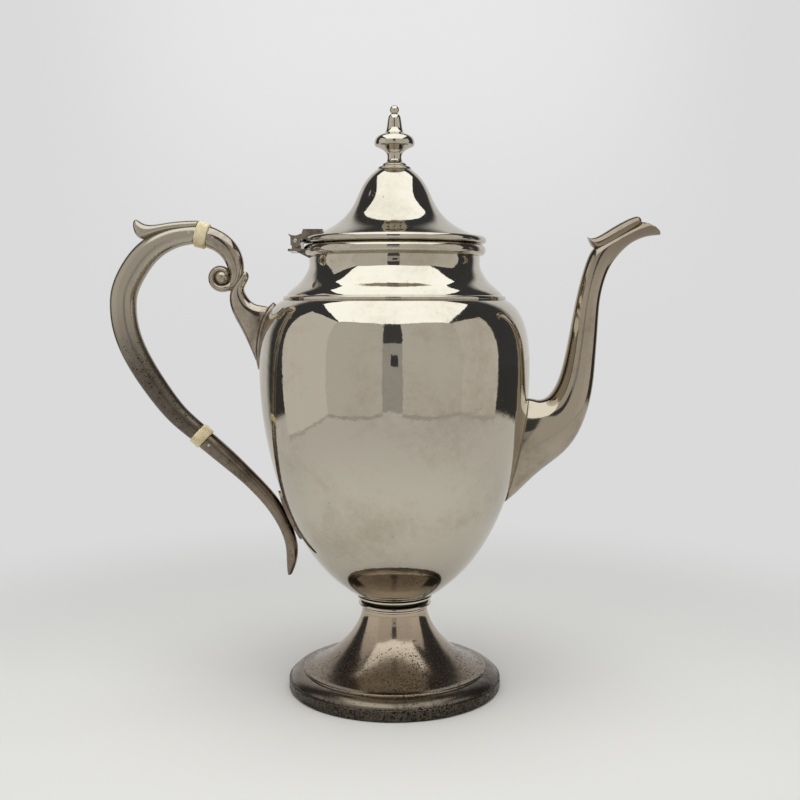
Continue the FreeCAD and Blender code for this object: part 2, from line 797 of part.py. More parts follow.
def lip_cutter():
    """The space over the beak, which leaves its end open and slanting down to the tip."""
    start, bulge, tip = ahead(0.850, 1.034), ahead(0.955, 1.024), ahead(1.0, 1.0)
    far = ahead(1.3, 1.0)
    high = ahead(1.3, 1.2)
    back = ahead(0.850, 1.2)
    edges = [arc((start.x, start.z), (bulge.x, bulge.z), (tip.x, tip.z))]
    low = ahead(1.0, 0.9)
    edges += chain((tip.x, tip.z), (low.x, low.z), (far.x, low.z), (high.x, high.z), (back.x, back.z),
                   (start.x, start.z))
    return slab(edges, -2 * spout_lip_half_width, 2 * spout_lip_half_width)


def make_spout():
    """The hollow spout: a horn on the bowl that narrows upward and turns out to an open beak."""
    sections = spout_sections()
    hollow = skinned(inset(sections, spout_wall))
    return one_solid(skinned(sections).cut(hollow).cut(bowl_space).cut(lip_cutter()))


def make_spout_leaf():
    """The leaf on the back of the beak, curled up at its lower end."""
    outline = [(0.488, 0.966), (0.453, 0.981), (0.449, 0.989), (0.513, 0.996), (0.608, 1.014),
               (0.714, 1.035), (0.819, 1.048), (0.845, 1.040)]
    points = [(ahead(*p).x, ahead(*p).z) for p in outline]
    end = ahead(0.850, 1.0)
    edges = [curved(points)] + chain(points[-1], (end.x, end.z), points[0])
    leaf = slab(edges, -spout_leaf_half_width, spout_leaf_half_width)
    return one_solid(leaf.cut(skinned(spout_sections())))


# The whole pot, piece by piece

parts = {}
parts["foot_ring"] = make_foot_ring()
parts["foot_trumpet"] = make_foot_trumpet()
parts["foot_collar"] = make_foot_collar()
parts["bowl"] = make_bowl()
parts["shoulder_bead"] = make_shoulder_bead()
parts["neck"] = make_neck()
parts["mouth_rim"] = make_mouth_rim()

parts["lid_rim"] = make_lid_rim()
parts["lid_bezel"] = make_lid_bezel()
parts["lid_dome"] = make_lid_dome()
parts["finial_base"] = make_finial_base()
parts["finial"] = make_finial()
parts["finial_stud"] = make_finial_stud()
parts["finial_washer"] = make_finial_washer()
parts["finial_nut"] = make_finial_nut()

parts["hinge_bracket"] = make_hinge_bracket()
parts["hinge_leaf"] = make_hinge_leaf(parts["lid_rim"], parts["lid_dome"])
parts["hinge_pin"] = make_hinge_pin()

thumb_leaf = make_thumb_leaf()
upper_plate = make_upper_plate()
lower_plate = make_lower_plate()
grip = skinned(make_grip_sections())
upper_arm = make_upper_arm()
lower_socket = make_lower_socket()
upper_ring = (upper_ring_centre, upper_ring_axis)
lower_ring = (lower_ring_centre, lower_ring_axis)
spigot_bores = [spigot_bore(*upper_ring), spigot_bore(*lower_ring)]
cross_pins = []
cross_bores = []
for host, ring, side in [(grip, upper_ring, -1), (upper_arm, upper_ring, 1), (grip, lower_ring, -1),
                         (lower_socket, lower_ring, 1)]:
    cross_pins.append(one_solid(cross_pin_rod(*ring, side, cross_pin_radius).common(host)))
    cross_bores.append(cross_pin_rod(*ring, side, cross_pin_radius + cross_pin_clearance))

parts["handle_grip"] = one_solid(grip.cut([make_grip_cavity(), thumb_leaf] + spigot_bores + cross_bores))
parts["thumb_leaf"] = one_solid(thumb_leaf.cut(spigot_bores))
parts["upper_insulator"] = make_insulator(*upper_ring, upper_ring_radius).cut(cross_bores)
parts["lower_insulator"] = make_insulator(*lower_ring, lower_ring_radius).cut(cross_bores)
parts["upper_arm"] = one_solid(upper_arm.cut(spigot_bores + cross_bores))
parts["upper_bracket"] = make_upper_bracket(upper_arm)
parts["upper_plate"] = upper_plate
parts["lower_socket"] = one_solid(lower_socket.cut(spigot_bores + cross_bores))
parts["lower_plate"] = lower_plate
parts["cross_pins"] = Part.makeCompound(cross_pins)

parts["spout"] = make_spout()
parts["spout_leaf"] = make_spout_leaf()

os.makedirs("parts", exist_ok=True)
for name, shape in parts.items():
    shape.exportStep("parts/" + name + ".step")
    print(name, len(shape.Solids), "solids", round(shape.Volume, 1), "mm3", shape.isValid())
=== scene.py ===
import math

import bmesh
import bpy
from mathutils import Matrix, Vector


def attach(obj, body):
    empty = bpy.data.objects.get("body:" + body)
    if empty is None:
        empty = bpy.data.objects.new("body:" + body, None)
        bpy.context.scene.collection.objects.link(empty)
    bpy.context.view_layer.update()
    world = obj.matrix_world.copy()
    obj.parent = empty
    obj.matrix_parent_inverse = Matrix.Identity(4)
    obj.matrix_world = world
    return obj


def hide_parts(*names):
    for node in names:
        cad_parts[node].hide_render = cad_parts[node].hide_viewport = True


# A vase-shaped silver coffee pot with a hinged lid, a tall spout and a scroll handle.
# The pieces are drawn in millimetres, in the frame of the solids: the foot stands on z = 0, the
# spout is on the +X side, and the handle and hinge are on the -X side. Lamp and camera are in metres.

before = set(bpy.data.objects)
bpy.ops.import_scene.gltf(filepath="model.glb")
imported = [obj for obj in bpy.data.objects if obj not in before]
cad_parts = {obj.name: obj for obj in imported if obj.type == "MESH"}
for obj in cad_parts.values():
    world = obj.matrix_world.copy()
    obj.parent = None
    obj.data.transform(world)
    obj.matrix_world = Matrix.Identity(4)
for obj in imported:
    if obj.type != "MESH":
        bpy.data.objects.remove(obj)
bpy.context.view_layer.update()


# Foot ring: the cast silver ring that the pot stands on. A fine ledge parts its upright edge
# from a soft band, and dark tarnish has gathered on it. It is turned, and soldered to the foot.

MM = 0.001
HARD_EDGE = 35


def smooth_line(controls, steps=10):
    """Points of the smooth line that a few control points draw."""
    curve = bpy.data.curves.new("line", "CURVE")
    curve.dimensions = "3D"
    spline = curve.splines.new("NURBS")
    spline.points.add(len(controls) - 1)
    for point, (out, rise) in zip(spline.points, controls):
        point.co = (out, 0, rise, 1)
    spline.order_u = 4
    spline.use_endpoint_u = True
    spline.resolution_u = steps
    holder = bpy.data.objects.new("line", curve)
    mesh = bpy.data.meshes.new_from_object(holder)
    points = [(v.co.x, v.co.z) for v in mesh.vertices]
    bpy.data.objects.remove(holder)
    bpy.data.curves.remove(curve)
    bpy.data.meshes.remove(mesh)
    return points


def finished(name, bm, sharp=HARD_EDGE):
    """A smooth-shaded object from a mesh in millimetres, with hard edges past an angle."""
    bmesh.ops.scale(bm, vec=(MM, MM, MM), verts=bm.verts)
    mesh = bpy.data.meshes.new(name)
    bm.to_mesh(mesh)
    bm.free()
    for face in mesh.polygons:
        face.use_smooth = True
    mesh.set_sharp_from_angle(angle=math.radians(sharp))
    piece = bpy.data.objects.new(name, mesh)
    bpy.context.scene.collection.objects.link(piece)
    return piece


def spun(outline, closed=True, steps=144):
    """An outline of (radius, height) turned once round the upright axis."""
    bm = bmesh.new()
    corners = [bm.verts.new((radius, 0, height)) for radius, height in outline]
    ends = corners[1:] + corners[:1] if closed else corners[1:]
    for a, b in zip(corners, ends):
        bm.edges.new((a, b))
    bmesh.ops.spin(bm, geom=bm.verts[:] + bm.edges[:], cent=(0, 0, 0), axis=(0, 0, 1),
                   angle=math.tau, steps=steps, use_merge=True)
    bmesh.ops.remove_doubles(bm, verts=bm.verts, dist=0.001)
    bmesh.ops.recalc_face_normals(bm, faces=bm.faces)
    return bm


def eased(piece, width):
    """Gives a piece a fine rounding along its hard edges."""
    bevel = piece.modifiers.new("edges", "BEVEL")
    bevel.width = width * MM
    bevel.segments = 2
    bevel.limit_method = "ANGLE"
    bevel.angle_limit = math.radians(HARD_EDGE)
    bevel.harden_normals = True


class Paint:
    """A socket of a shader. Arithmetic on it adds Math nodes, and add() makes any other node."""

    def __init__(self, tree, socket=None):
        self.tree = tree
        self.socket = socket

    def add(self, kind, settings=None, inputs=None, output=0):
        node = self.tree.nodes.new("ShaderNode" + kind)
        for name, value in (settings or {}).items():
            setattr(node, name, value)
        for name, value in (inputs or {}).items():
            if isinstance(value, Paint):
                self.tree.links.new(value.socket, node.inputs[name])
            else:
                node.inputs[name].default_value = value
        return Paint(self.tree, node.outputs[output])

    def math(self, operation, a, b):
        return self.add("Math", {"operation": operation}, {0: a, 1: b})

    def __add__(self, other):
        return self.math("ADD", self, other)

    def __sub__(self, other):
        return self.math("SUBTRACT", self, other)

    def __rsub__(self, other):
        return self.math("SUBTRACT", other, self)

    def __mul__(self, other):
        return self.math("MULTIPLY", self, other)

    def __truediv__(self, other):
        return self.math("DIVIDE", self, other)

    def __rtruediv__(self, other):
        return self.math("DIVIDE", other, self)

    __radd__ = __add__
    __rmul__ = __mul__

    def step(self, low, high):
        """0 below low, 1 above high and a soft change between. It falls where low is the higher."""
        return self.add("MapRange", {"interpolation_type": "SMOOTHSTEP"},
                        {"Value": self, "From Min": low, "From Max": high})

    def blend(self, first, second):
        """The first colour where this is 0, the second where it is 1."""
        return self.add("Mix", {"data_type": "RGBA"}, {0: self, 6: first, 7: second}, output=2)

    def noise(self, scale, detail=3.0, roughness=0.55):
        """Cloudy noise read at this place, with so many clouds to a metre."""
        return self.add("TexNoise", inputs={"Vector": self, "Scale": scale, "Detail": detail,
                                            "Roughness": roughness})


def silver(name, colour, stain_and_shade_colour, stained=(0.45, 0.70), gloss=0.06, pits=0.66, dents=0.2, darkening_heights=None):
    """Polished silver: clouded by tarnish, finely pitted, and never quite true in its surface.
    Where the heights are given, the stained colour grows from the first height to the second one:
    as tarnish on some pieces, as painted shade on others."""
    material = bpy.data.materials.new(name)
    material.use_nodes = True
    tree = material.node_tree
    shader = tree.nodes["Principled BSDF"]
    place = Paint(tree).add("TexCoord", output=3)
    cloud = place.noise(scale=26, detail=5, roughness=0.6)
    grain = place.noise(scale=300, detail=5, roughness=0.7)
    specks = place.noise(scale=1400, detail=2)
    tarnish_and_shade = (cloud * 0.75 + grain * 0.25).step(*stained)
    if darkening_heights:
        height = place.add("SeparateXYZ", inputs={0: place}, output=2)
        height_darkening = height.step(darkening_heights[0] * MM, darkening_heights[1] * MM)
        tarnish_and_shade = tarnish_and_shade.math("MAXIMUM", tarnish_and_shade, height_darkening * (grain * 0.5 + 0.6))
        pits = pits - height_darkening * 0.085
    pit = (specks * 0.7 + cloud * 0.15 + grain * 0.15 - pits).step(0, 0.03)
    pit_colour = tuple(part * 0.2 for part in stain_and_shade_colour)
    base = pit.blend(tarnish_and_shade.blend((*colour, 1), (*stain_and_shade_colour, 1)), (*pit_colour, 1))
    ripple = cloud * 0.85 + place.noise(scale=70, detail=2) * 0.15
    bump = place.add("Bump", inputs={"Strength": 1.0, "Distance": dents * MM,
                                     "Height": ripple + grain * 0.006 - pit * 0.08})
    rough = tarnish_and_shade * 0.07 + grain * 0.05 + pit * 0.3 + (gloss - 0.025)
    for socket, value in (("Base Color", base), ("Roughness", rough), ("Normal", bump)):
        tree.links.new(value.socket, shader.inputs[socket])
    shader.inputs["Metallic"].default_value = 1.0
    return material


foot_silver = silver("foot_silver", (0.21, 0.17, 0.13), (0.068, 0.058, 0.047), stained=(0.42, 0.64),
                     gloss=0.22, pits=0.60, darkening_heights=(6.2, 4.8))

foot_radius, foot_inside = 46.9, 44.3
foot_top, brim_inside = 8.3, 37.9
upright_edge = [(foot_inside, 0), (46.2, 0), (foot_radius, 0.7), (foot_radius, 4.7), (46.6, 5.0)]
soft_band = smooth_line([(46.0, 5.2), (45.2, 6.7), (43.4, 8.0), (41.1, foot_top)])
underside = [(brim_inside, foot_top), (foot_inside, 3.2)]
foot_ring = finished("foot_ring_cast", spun(upright_edge + soft_band + underside))
eased(foot_ring, 0.25)
foot_ring.data.materials.append(foot_silver)
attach(foot_ring, "pot")
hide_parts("foot_ring")


# Trumpet foot: spun silver sheet, a flat brim that flares up into the stem. It is soldered to
# the ring below and to the collar above. Its colour is darker than the bowl's and darker still
# towards the brim: partly brown tarnish, partly painted shade where the bowl hides the light above.

SHEET = 1.0


def walled(piece, thickness=SHEET):
    """Gives an outer skin its thickness, inwards."""
    wall = piece.modifiers.new("wall", "SOLIDIFY")
    wall.thickness = thickness * MM
    wall.offset = -1
    return piece


def arc_line(centre, radius, start, end, steps=12):
    """Points round part of a circle, by its angles in degrees."""
    turn = [math.radians(start + (end - start) * k / steps) for k in range(steps + 1)]
    return [(centre[0] + radius * math.cos(a), centre[1] + radius * math.sin(a)) for a in turn]


# Stained towards the brim: partly tarnish, partly painted shade from the bowl above.
trumpet_silver = silver("trumpet_silver", (0.50, 0.415, 0.315), (0.20, 0.155, 0.115),
                        stained=(0.52, 0.74), gloss=0.11, pits=0.64, darkening_heights=(36, 12))

brim_radius, brim_round = 40.5, 0.8
brim_top, stem_top = foot_top + SHEET, 35.8
brim_edge = arc_line((brim_radius - brim_round, brim_top - brim_round), brim_round, 0, 90, 6)
flare = smooth_line([(brim_inside, brim_top), (35.7, 10.1), (31.4, 12.1), (25.5, 16.6), (20.3, 21.9),
                     (16.1, 28.2), (14.3, 33.2), (14.4, stem_top)])
trumpet = finished("foot_trumpet_spun", spun([(brim_radius, foot_top)] + brim_edge + flare, closed=False))
walled(trumpet)
trumpet.data.materials.append(trumpet_silver)
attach(trumpet, "pot")
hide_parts("foot_trumpet")


# Collar: a turned knot of silver between foot and bowl, with a lip, a groove and a bead.
# It is soldered to both, and old tarnish fills its groove.

body_silver = silver("body_silver", (0.57, 0.525, 0.445), (0.46, 0.41, 0.33), gloss=0.035, pits=0.668)
seat_silver = silver("seat_silver", (0.09, 0.075, 0.06), (0.05, 0.04, 0.03), gloss=0.4)

collar_inside, collar_neck = 11.5, 14.8
lip_radius, groove_radius = 16.6, 13.4
groove_low, groove_high = 38.65, 40.15
bowl_low = 41.0
collar_foot = [(collar_inside, stem_top), (collar_neck, stem_top)]
collar_bead = smooth_line([(collar_neck, 36.4), (16.6, 36.6), (16.8, 38.6), (groove_radius, 38.7)])
collar_lip = [(groove_radius, 39.9), (lip_radius, 40.2), (lip_radius, bowl_low), (collar_inside, bowl_low)]
collar = finished("foot_collar_turned", spun(collar_foot + collar_bead + collar_lip))
eased(collar, 0.12)
collar.data.materials.append(body_silver)
collar.data.materials.append(seat_silver)
for face in collar.data.polygons:
    if groove_low * MM < face.center.z < groove_high * MM:
        face.material_index = 1
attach(collar, "pot")
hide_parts("foot_collar")


# Bowl: the vase-shaped body, spun from silver sheet, with a drilled strainer in its wall
# behind the spout. It stands on the collar.

BOWL_STEPS = 192


def shaped(piece, cutter):
    """Makes a piece's modifiers its own mesh, less the space of the cutter."""
    cut = piece.modifiers.new("cut", "BOOLEAN")
    cut.object = cutter
    cut.solver = "EXACT"
    bpy.context.view_layer.update()
    seen = bpy.context.evaluated_depsgraph_get()
    mesh = bpy.data.meshes.new_from_object(piece.evaluated_get(seen))
    old = piece.data
    piece.modifiers.clear()
    piece.data = mesh
    bpy.data.meshes.remove(old)
    mesh.name = piece.name
    bpy.data.objects.remove(cutter)


bowl_high, bowl_mouth = 171.2, 48.2
bowl_line = smooth_line([(15.9, bowl_low), (20.2, 43.6), (28.0, 49.4), (37.3, 60.4), (44.3, 73.0),
                         (49.8, 86.7), (53.9, 101.0), (56.8, 115.4), (58.5, 130.2), (58.8, 144.9),
                         (57.8, 159.8), (52.7, 168.7), (bowl_mouth, bowl_high)], 8)
bowl = finished("bowl_spun", spun([(0, bowl_low)] + bowl_line, closed=False, steps=BOWL_STEPS))
walled(bowl)

strainer_height, hole_pitch, hole_radius = 109.1, 5.6, 1.8
drill_place, drill_length = 52, 30
level = Matrix.Rotation(math.pi / 2, 4, "Y")
drills = bmesh.new()
for row in range(-2, 3):
    count = 3 - abs(row)
    for k in range(count):
        across = (k - (count - 1) / 2) * hole_pitch
        spot = Matrix.Translation((drill_place, across, strainer_height + row * hole_pitch))
        bmesh.ops.create_cone(drills, cap_ends=True, segments=20, radius1=hole_radius, radius2=hole_radius,
                              depth=drill_length, matrix=spot @ level)
shaped(bowl, finished("drills", drills))
bowl.data.materials.clear()
bowl.data.materials.append(body_silver)
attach(bowl, "pot")
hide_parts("bowl")


# Shoulder bead: a fine silver wire, half round outside, over the seam of bowl and neck.
# It is bent to a ring and soldered on.

bead_inside, bead_top = 46.0, 172.8
bead_line = smooth_line([(bowl_mouth, bowl_high), (48.5, 171.9), (48.2, bead_top), (47.1, bead_top)], 6)
bead_outline = [(bead_inside, bowl_high)] + bead_line + [(bead_inside, bead_top)]
shoulder_bead = finished("shoulder_bead_wire", spun(bead_outline))
shoulder_bead.data.materials.append(body_silver)
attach(shoulder_bead, "pot")
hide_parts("shoulder_bead")


# Neck: the concave neck between shoulder and mouth, spun from silver sheet. It is soldered to
# the bowl behind the bead.

neck_radius, mouth_top = 36.9, 194.6
neck_line = smooth_line([(47.2, bowl_high), (47.1, 173.0), (44.8, 175.4), (40.8, 178.3), (38.0, 182.5),
                         (36.7, 185.6), (neck_radius, 187.3)])
neck = walled(finished("neck_spun", spun(neck_line + [(neck_radius, mouth_top)], closed=False)))
neck.data.materials.append(body_silver)
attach(neck, "pot")
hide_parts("neck")


# Mouth rim: the half-round silver ring that stiffens the mouth, and that the lid closes on.
# It is soldered round the top of the neck.

def rim_line(inner, outer, low, height):
    """A ring with a half-round outside. The middle of its curve reaches the outer radius."""
    edge = outer - height * 0.385
    crown = (outer * 4 - edge) / 3
    round_side = smooth_line([(edge, low), (crown, low + 0.13 * height), (crown, low + 0.87 * height),
                              (edge, low + height)])
    return [(inner, low + height), (inner, low)] + round_side


mouth_radius, mouth_height = 39.4, 4.8
mouth_outline = rim_line(neck_radius, mouth_radius, mouth_top - mouth_height, mouth_height)
mouth_rim = finished("mouth_rim_ring", spun(mouth_outline))
mouth_rim.data.materials.append(body_silver)
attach(mouth_rim, "pot")
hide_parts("mouth_rim")


# Lid rim: the half-round silver ring round the lid's edge. The dome and the bezel are soldered
# to it, and it lies just clear of the mouth rim.

lid_inside, lid_radius = 34.5, 39.6
lid_low, lid_rim_height = 194.9, 3.0
lid_rim = finished("lid_rim_ring", spun(rim_line(lid_inside, lid_radius, lid_low, lid_rim_height)))
lid_rim.data.materials.append(body_silver)
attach(lid_rim, "lid")
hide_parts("lid_rim")


# Lid bezel: the thin silver ring that drops inside the mouth and centres the lid. It is
# soldered under the lid rim, and out of reach of polish it has gone dark.

bezel_inside, bezel_radius, bezel_lead = 34.3, 35.3, 0.5
bezel_low = 190.5
bezel_outline = [(bezel_inside, bezel_low), (bezel_radius - bezel_lead, bezel_low),
                 (bezel_radius, bezel_low + bezel_lead), (bezel_radius, lid_low), (bezel_inside, lid_low)]
lid_bezel = finished("lid_bezel_ring", spun(bezel_outline))
lid_bezel.data.materials.append(seat_silver)
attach(lid_bezel, "lid")
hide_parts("lid_bezel")


# Lid dome: the bell-shaped top of the lid, spun from silver sheet. It is soldered to the lid
# rim, and the finial's stud goes through its flat top.

dome_top, stud_radius = 226.6, 1.55
dome_line = smooth_line([(35.4, lid_low + lid_rim_height), (33.7, 198.9), (30.2, 200.6), (25.0, 203.4),
                         (20.6, 207.3), (17.2, 212.2), (15.0, 217.6), (12.1, 222.8), (9.2, 225.5),
                         (7.6, dome_top)])
dome = walled(finished("lid_dome_spun", spun(dome_line + [(stud_radius, dome_top)], closed=False)))
dome.data.materials.append(body_silver)
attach(dome, "lid")
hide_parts("lid_dome")


# Finial base: a disc of two round steps under the knob, turned in silver. The finial's stud
# goes through it and clamps it on the dome.

finial_low, step_round = 229.3, 0.68
lower_step = arc_line((6.52, 227.27), step_round, -90, 90, 8)
upper_step = arc_line((4.62, finial_low - step_round), step_round, -90, 90, 8)
base_outline = [(stud_radius, dome_top)] + lower_step + upper_step + [(stud_radius, finial_low)]
finial_base = finished("finial_base_turned", spun(base_outline))
finial_base.data.materials.append(body_silver)
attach(finial_base, "lid")
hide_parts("finial_base")


# Finial: an urn-shaped knob with a slim cone and a small ball on top, turned in silver.
# A stud, washer and nut inside the lid hold it.

stud_hole_top = 233.8
ball_centre, ball_radius = (0, 252.0), 2.0
stud_hole = [(0, stud_hole_top), (stud_radius, stud_hole_top), (stud_radius, finial_low)]
knob_stem = smooth_line([(4.9, finial_low), (3.6, 229.5), (2.7, 231.8), (3.6, 234.6), (6.2, 235.9),
                         (8.0, 236.6)])
urn = smooth_line([(8.0, 236.6), (8.7, 237.2), (8.7, 238.6), (8.1, 240.2), (6.9, 241.2), (6.1, 241.4)], 6)
cone = smooth_line([(5.9, 241.6), (4.6, 241.9), (3.6, 242.9), (3.2, 245.5), (2.8, 248.6), (2.4, 250.0),
                    (1.2, 250.4)])
ball = arc_line(ball_centre, ball_radius, -53, 90)
finial = finished("finial_turned", spun(stud_hole + knob_stem + urn + cone + ball, closed=False))
eased(finial, 0.15)
finial.data.materials.append(body_silver)
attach(finial, "lid")
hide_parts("finial")


# Hinge and fixings: the fixed leaf, the lid's leaf and the pin, with the finial's stud, washer
# and nut and the handle's cross pins. Plain turned or filed metal, kept as the solids have them.

def refinished(node, finish):
    """Gives a solid that stays in view another finish."""
    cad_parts[node].data.materials.clear()
    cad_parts[node].data.materials.append(finish)


hardware = silver("hardware", (0.58, 0.55, 0.50), (0.30, 0.25, 0.20), stained=(0.50, 0.80), gloss=0.22)
for node in ("finial_stud", "finial_washer", "finial_nut", "hinge_pin", "cross_pins"):
    refinished(node, hardware)
hinge_silver = silver("hinge_silver", (0.27, 0.235, 0.19), (0.08, 0.065, 0.05), stained=(0.40, 0.60),
                      gloss=0.08, pits=0.60, dents=1.2)
for node in ("hinge_bracket", "hinge_leaf"):
    refinished(node, hinge_silver)


# Handle grip: the hollow cast silver bow that the hand holds, between two insulating rings.
# Their spigots go into its ends, and its colour is darker down its lower half.

ACROSS = Vector((0, 1, 0))
CAP_CREASE = 0.8

grip_silver = silver("grip_silver", (0.42, 0.375, 0.31), (0.085, 0.066, 0.05), stained=(0.54, 0.80),
                     gloss=0.19, pits=0.65, darkening_heights=(174, 134))

# Shares of the handle count from the bowl of the solids, which starts a little below bowl_low.
bowl_radius, bowl_base, bowl_rise = 58.7, 39.6, 131.6
handle_reach = 64.8


def beside(out, rise):
    """A place at the handle, by shares of the handle's reach and of the bowl's rise."""
    return Vector((-(bowl_radius + out * handle_reach), 0, bowl_base + rise * bowl_rise))


def tilted(degrees):
    """The direction at an angle above +X, in the pot's middle plane."""
    return Vector((math.cos(math.radians(degrees)), 0, math.sin(math.radians(degrees))))


def square_cuts(path, sizes, first=None, last=None):
    """Cuts square to a bent arm: edge point, other edge point and half width of each."""
    cuts = []
    for k, (point, (thickness, width)) in enumerate(zip(path, sizes)):
        along = path[min(k + 1, len(path) - 1)] - path[max(k - 1, 0)]
        if k == 0 and first:
            along = first
        if k == len(path) - 1 and last:
            along = last
        side = along.cross(ACROSS).normalized() * (thickness / 2)
        cuts.append((point - side, point + side, width / 2))
    return cuts


def skinned(cuts, segments=16, caps=True):
    """A skin through oval cuts, given as two edge points and a half width each. Its corners stand
    out a little, so that the smoothed skin passes through the cuts."""
    bm = bmesh.new()
    creases = bm.edges.layers.float.new("crease_edge")
    swell = 3 / (2 + math.cos(math.tau / segments))
    half_step = Matrix.Rotation(math.pi / segments, 4, "Z")
    rings = []
    for k, (a, b, half_width) in enumerate(cuts):
        if 0 < k < len(cuts) - 1:
            before, after = cuts[k - 1], cuts[k + 1]
            a, b = a - (before[0] + after[0] - a * 2) / 6, b - (before[1] + after[1] - b * 2) / 6
        middle, reach = (a + b) / 2, (b - a) / 2
        oval = Matrix((reach, ACROSS * half_width, reach.cross(ACROSS).normalized())).transposed()
        made = bmesh.ops.create_circle(bm, segments=segments, radius=swell,
                                       matrix=Matrix.Translation(middle) @ oval.to_4x4() @ half_step)
        rings.append(list(dict.fromkeys(edge for v in made["verts"] for edge in v.link_edges)))
    for ring, following in zip(rings, rings[1:]):
        bmesh.ops.bridge_loops(bm, edges=ring + following)
    if caps:
        for ring in (rings[0], rings[-1]):
            bmesh.ops.contextual_create(bm, geom=ring)
            for edge in ring:
                edge[creases] = CAP_CREASE
    bmesh.ops.recalc_face_normals(bm, faces=bm.faces)
    return bm


def cast(name, bm, levels=2):
    """A cast piece: a mesh with hardly a sharp edge, rounded by subdivision."""
    piece = finished(name, bm, sharp=80)
    smooth = piece.modifiers.new("smooth", "SUBSURF")
    smooth.levels = levels
    smooth.render_levels = levels
    return piece


upper_centre, upper_axis, upper_radius = beside(0.377, 1.2105), tilted(-14), 5.65
lower_centre, lower_axis, lower_radius = beside(0.400, 0.547), tilted(-44), 5.05
half_ring = 2.6
flatness = 0.9

grip_path = [upper_centre - upper_axis * half_ring]
grip_sizes = [(9.2, 8.3)]
for out, rise, thickness in ((0.524, 1.209, 9.2), (0.631, 1.190, 9.8), (0.767, 1.144, 11.2),
                             (0.883, 1.053, 11.6), (0.910, 0.986, 11.6), (0.895, 0.899, 11.3),
                             (0.809, 0.793, 10.7), (0.647, 0.671, 9.8), (0.540, 0.609, 9.1)):
    grip_path.append(beside(out, rise))
    grip_sizes.append((thickness, thickness * flatness))
grip_path.append(lower_centre - lower_axis * half_ring)
grip_sizes.append((8.6, 7.8))
grip_cuts = square_cuts(grip_path, grip_sizes, first=upper_axis * -1, last=lower_axis)
grip = cast("handle_grip_cast", skinned(grip_cuts), levels=3)
grip.data.materials.append(grip_silver)
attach(grip, "pot")
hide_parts("handle_grip")


# Thumb leaf: a cast silver leaf that lies along the top of the grip and turns up at its end as
# a thumb rest. It is soldered on.

def side_cuts(rows):
    """Cuts from pairs of (x, z) edge points in the pot's middle plane, with their half widths."""
    return [(Vector((a[0], 0, a[1])), Vector((b[0], 0, b[1])), half_width) for a, b, half_width in rows]


thumb_cuts = side_cuts((((-84.9, 201.6), (-84.5, 205.2), 3.7), ((-92.0, 201.0), (-91.7, 205.0), 3.8),
                        ((-99.2, 200.0), (-98.6, 204.2), 3.9), ((-104.0, 198.4), (-104.6, 203.3), 4.0),
                        ((-107.2, 197.2), (-108.4, 203.9), 4.0), ((-109.8, 197.4), (-110.9, 205.5), 3.6),
                        ((-111.7, 199.2), (-112.3, 205.2), 2.4), ((-112.6, 201.4), (-112.8, 203.8), 1.0)))
thumb_leaf = cast("thumb_leaf_cast", skinned(thumb_cuts))
thumb_leaf.data.materials.append(grip_silver)
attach(thumb_leaf, "pot")
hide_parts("thumb_leaf")


# Upper arm: the cast silver socket beyond the upper ring, which rolls up into a volute with a
# ball for its eye. It takes the ring's spigot.

arm_silver = silver("arm_silver", (0.44, 0.385, 0.315), (0.19, 0.15, 0.115), stained=(0.47, 0.70),
                    gloss=0.10, pits=0.67)

arm_thickness, arm_width = 9.4, 8.46
arm_path = [upper_centre + upper_axis * half_ring]
for out, rise in ((0.253, 1.186), (0.189, 1.153), (0.158, 1.115), (0.154, 1.079), (0.180, 1.050)):
    arm_path.append(beside(out, rise))
arm_sizes = [(arm_thickness * taper, arm_width * taper) for taper in (1.0, 0.96, 0.90, 0.80, 0.64, 0.50)]

volute_centre, volute_cuts = beside(0.247, 1.073), 8
volute_start, volute_turn = -60, 280
volute_radius, volute_closing = 4.8, 2.2
volute_thickness, volute_thinning, volute_width = 3.6, 0.6, 6.8
for k in range(volute_cuts):
    rolled = k / (volute_cuts - 1)
    reach = volute_radius - volute_closing * rolled ** 2
    arm_path.append(volute_centre + tilted(volute_start - volute_turn * rolled) * reach)
    arm_sizes.append((volute_thickness - volute_thinning * rolled, volute_width))
arm_mesh = skinned(square_cuts(arm_path, arm_sizes, first=upper_axis))
eye_place = Matrix.Translation(volute_centre) @ Matrix.Diagonal((1, 1.2, 1, 1))
bmesh.ops.create_uvsphere(arm_mesh, u_segments=24, v_segments=16, radius=3.5, matrix=eye_place)
upper_arm = cast("upper_arm_cast", arm_mesh)
upper_arm.data.materials.append(arm_silver)
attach(upper_arm, "pot")
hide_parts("upper_arm")


# Upper bracket: a bud and an S-shaped arm of cast silver, from the volute down to the body.
# It is soldered to the volute and to its plate.

bracket_half = 4.4
bracket_cuts = []
for outer, inner, share in (((0.104, 1.092), (0.078, 1.090), 0.34), ((0.121, 1.082), (0.066, 1.076), 0.52),
                            ((0.150, 1.060), (0.084, 1.054), 0.56), ((0.190, 1.033), (0.102, 1.036), 0.66),
                            ((0.199, 0.993), (0.083, 1.013), 0.76), ((0.170, 0.947), (0.037, 0.986), 0.84),
                            ((0.114, 0.895), (-0.037, 0.979), 0.92), ((0.062, 0.838), (-0.093, 0.965), 0.84),
                            ((0.022, 0.790), (-0.110, 0.925), 0.40)):
    bracket_cuts.append((beside(*outer), beside(*inner), bracket_half * share))
upper_bracket = cast("upper_bracket_cast", skinned(bracket_cuts, segments=12))
upper_bracket.data.materials.append(arm_silver)
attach(upper_bracket, "pot")
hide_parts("upper_bracket")


# Upper plate: a shield-shaped silver plate, cast to the curve of the bowl, which spreads the
# bracket's joint. It is soldered to the bowl.

